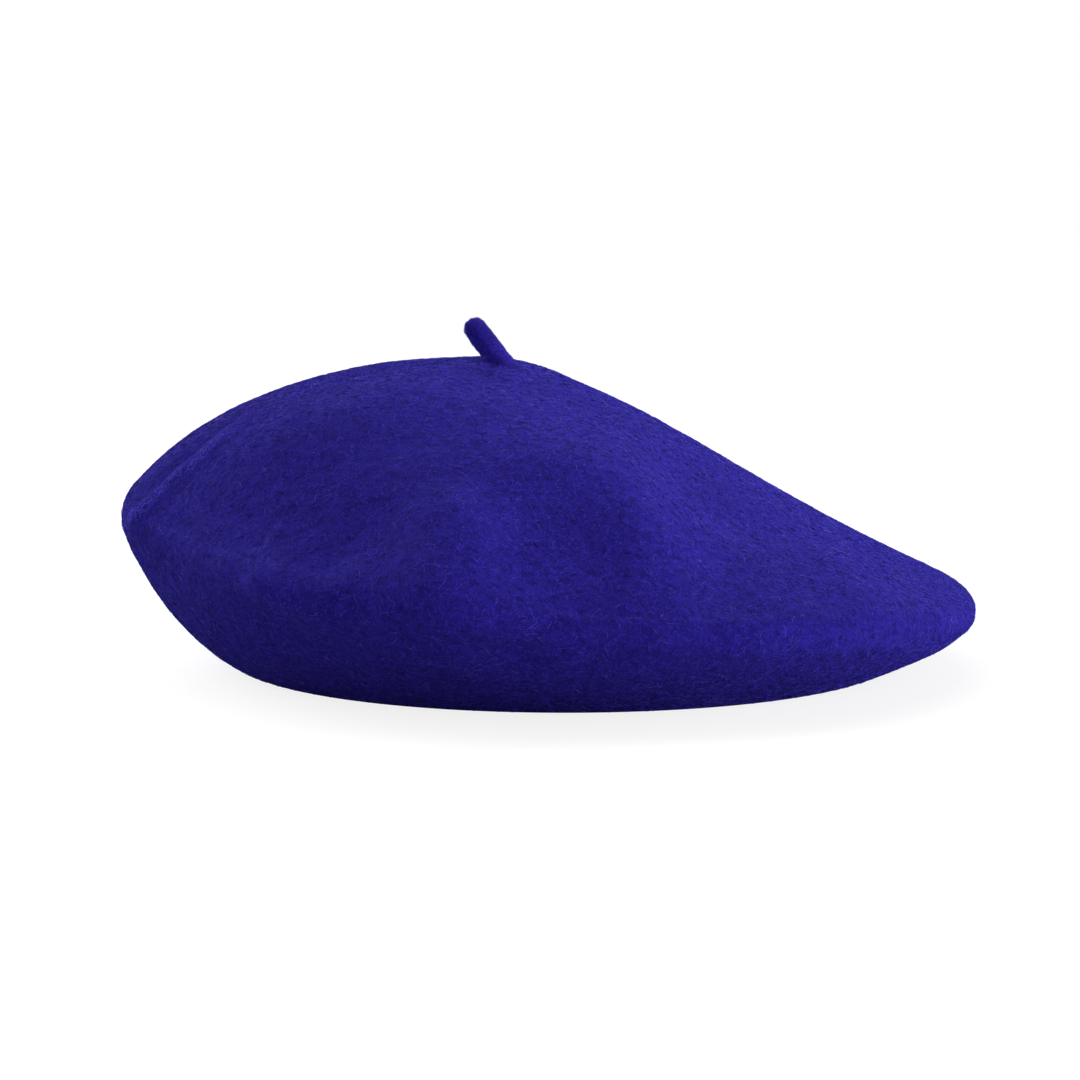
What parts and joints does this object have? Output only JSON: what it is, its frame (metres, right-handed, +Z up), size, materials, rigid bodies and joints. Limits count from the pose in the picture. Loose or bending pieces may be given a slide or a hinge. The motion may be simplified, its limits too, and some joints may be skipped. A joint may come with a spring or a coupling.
{
  "type": "beret",
  "caption": "Soft wool-felt beret with a stalk, slouched to one side, with a satin lining, a leather sweatband, a ribbon bow and blank labels inside.",
  "frame": {"origin": "middle of the beret's outline seen from above, on the surface that its rim rests on", "axes": "+Z up; +X towards the side where the felt hangs over and is lowest; +Y towards the back, where the bow is"},
  "size_m": [0.2497, 0.2623, 0.0993],
  "materials": {
    "felt": "brushed wool felt, matt, with a fine curly nap",
    "lining": "satin weave",
    "leather": "smooth sheepskin, satin",
    "ribbon": "grosgrain ribbon",
    "thread": "polyester sewing thread",
    "label": "woven label, blank"
  },
  "bodies": {
    "beret": {"felt_body": "felt", "stalk_tack_thread": "thread", "lining_tip": "lining", "lining_side": "lining", "lining_seam_thread": "thread", "maker_label": "label", "maker_label_thread": "thread", "sweatband": "leather", "sweatband_seam_thread": "thread", "bow_loops": "ribbon", "bow_wrap": "ribbon", "size_label": "label"},
    "stalk": {"stalk": "felt"},
    "care_label": {"care_label": "label"}
  },
  "joints": [
    {"name": "stalk_bend", "type": "hinge", "parent": "beret", "child": "stalk", "pos_m": [-0.0172, 0, 0.09305], "axis": [0, 1, 0], "range_deg": [-30, 85], "stiffness_Nm_per_rad": 0.003},
    {"name": "care_label_flap", "type": "hinge", "parent": "beret", "child": "care_label", "pos_m": [-0.0464, 0.07269, 0.024], "axis": [-0.8191, -0.5736, 0], "range_deg": [0, 100]}
  ]
}
